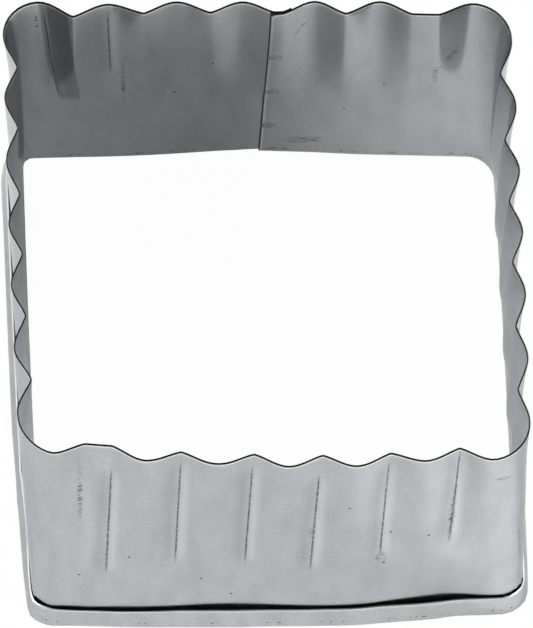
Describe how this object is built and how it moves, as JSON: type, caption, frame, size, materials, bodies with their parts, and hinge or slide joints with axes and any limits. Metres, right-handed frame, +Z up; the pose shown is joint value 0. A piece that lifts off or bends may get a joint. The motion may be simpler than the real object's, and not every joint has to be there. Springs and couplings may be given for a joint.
{
  "type": "cookie cutter",
  "caption": "Open square cookie cutter bent from one metal strip, with rounded corners, a fluted cutting edge, an outward hemmed rim and a spot-welded lap.",
  "frame": {"origin": "centre of the outline seen from above, on the ground plane that the hemmed rim stands on", "axes": "+Z up, from the hemmed rim to the fluted cutting edge; +Y towards the wall that has the lap; +X to the right of a viewer who faces the lap"},
  "size_m": [0.0522, 0.0546, 0.035],
  "materials": {
    "tinplate": "bright tinned, satin",
    "weld": "pressed and slightly dulled by the weld"
  },
  "bodies": {
    "root": {"fluted_strip": "tinplate", "spot_weld_upper": "weld", "spot_weld_middle": "weld", "spot_weld_lower": "weld"}
  },
  "joints": []
}
